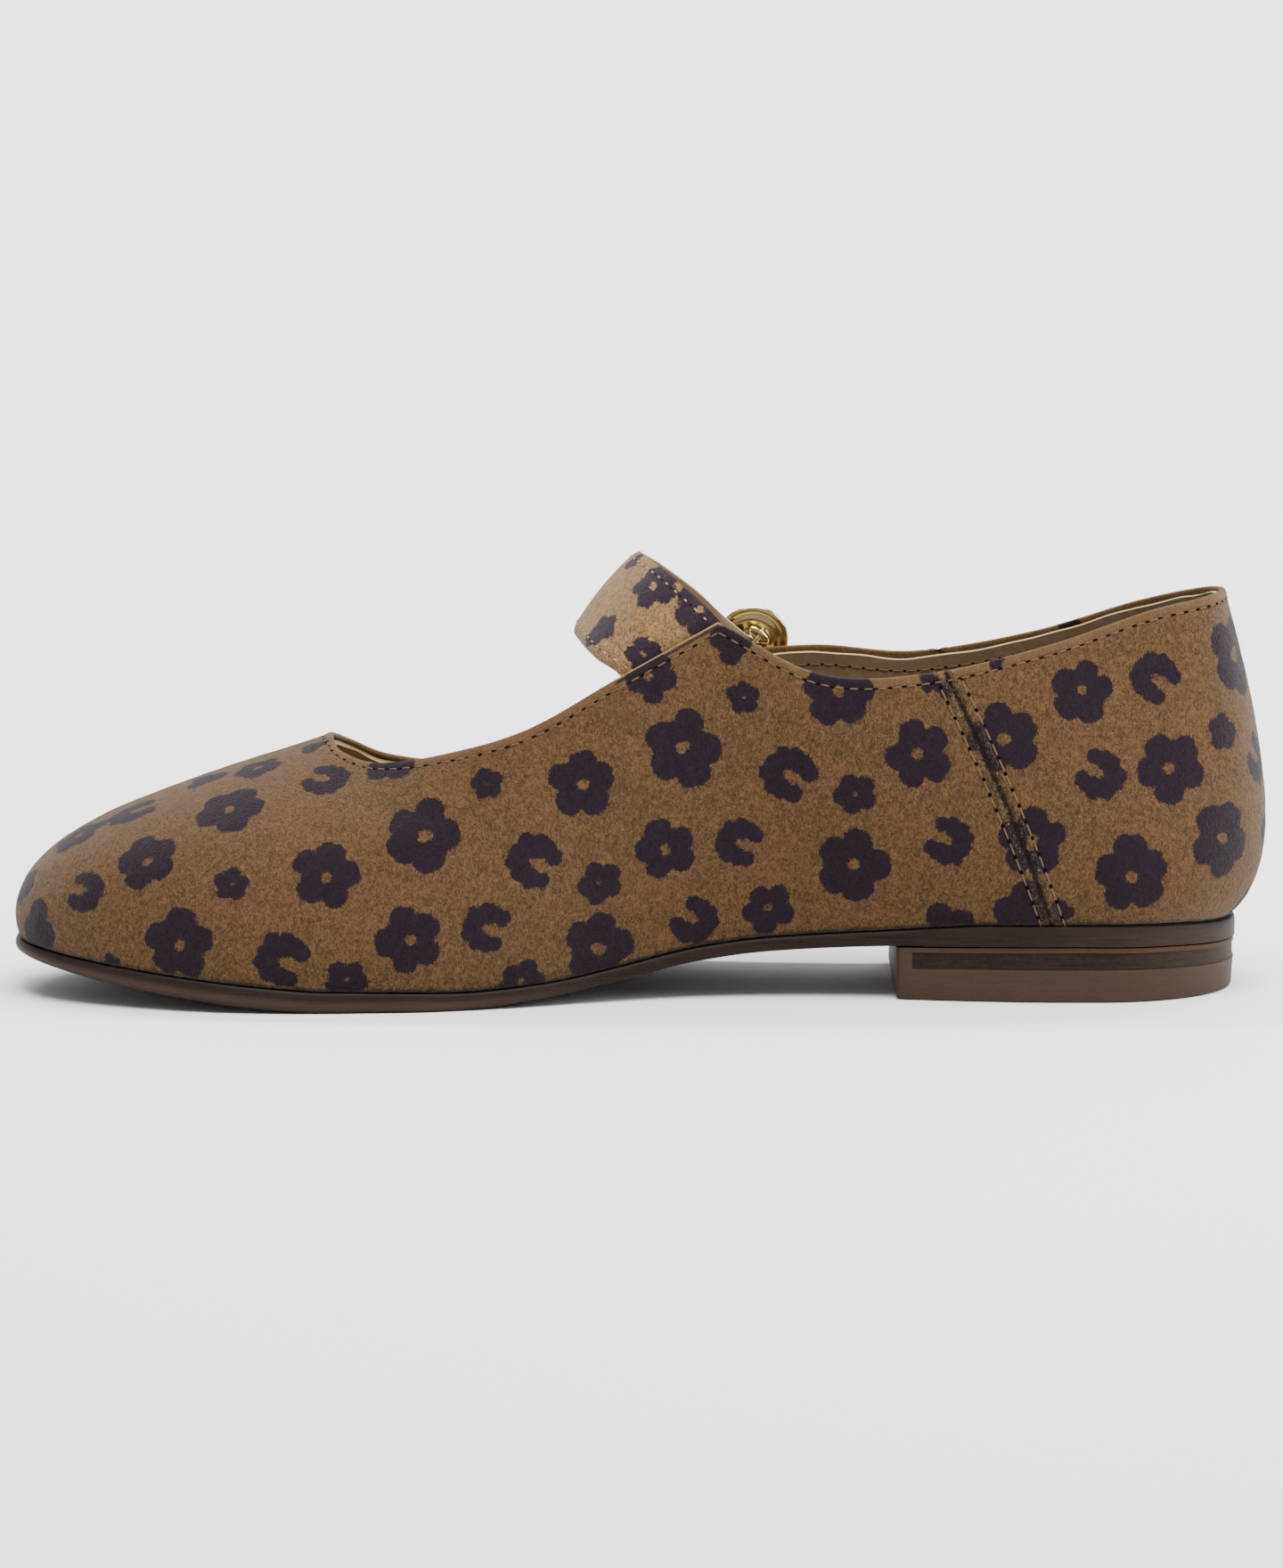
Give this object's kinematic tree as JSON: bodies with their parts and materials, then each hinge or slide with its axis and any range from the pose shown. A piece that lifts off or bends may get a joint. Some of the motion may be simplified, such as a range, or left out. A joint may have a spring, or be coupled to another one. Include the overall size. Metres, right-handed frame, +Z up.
{
  "type": "ballet flat",
  "caption": "Low-heeled slip-in flat shoe with a rounded toe, an open throat, an instep strap and an oval buckle on its outer side.",
  "frame": {"origin": "on the floor, under the middle of the shoe's length and width", "axes": "+X from the toe to the heel, +Y from the inner side of the foot to the outer side with the buckle, +Z up"},
  "size_m": [0.2516, 0.0836, 0.088],
  "materials": {
    "outsole": "matt dark brown",
    "heel": "matt beige-brown with a sunk dark brown band",
    "insole": "smooth light leather",
    "upper": "tan suede with a dark floral print, lined",
    "strap": "tan suede with a dark floral print",
    "buckle": "polished pale gold"
  },
  "bodies": {
    "root": {"outsole": "outsole", "heel": "heel", "insole": "insole", "upper": "upper", "strap": "strap", "buckle": "buckle"}
  },
  "joints": []
}
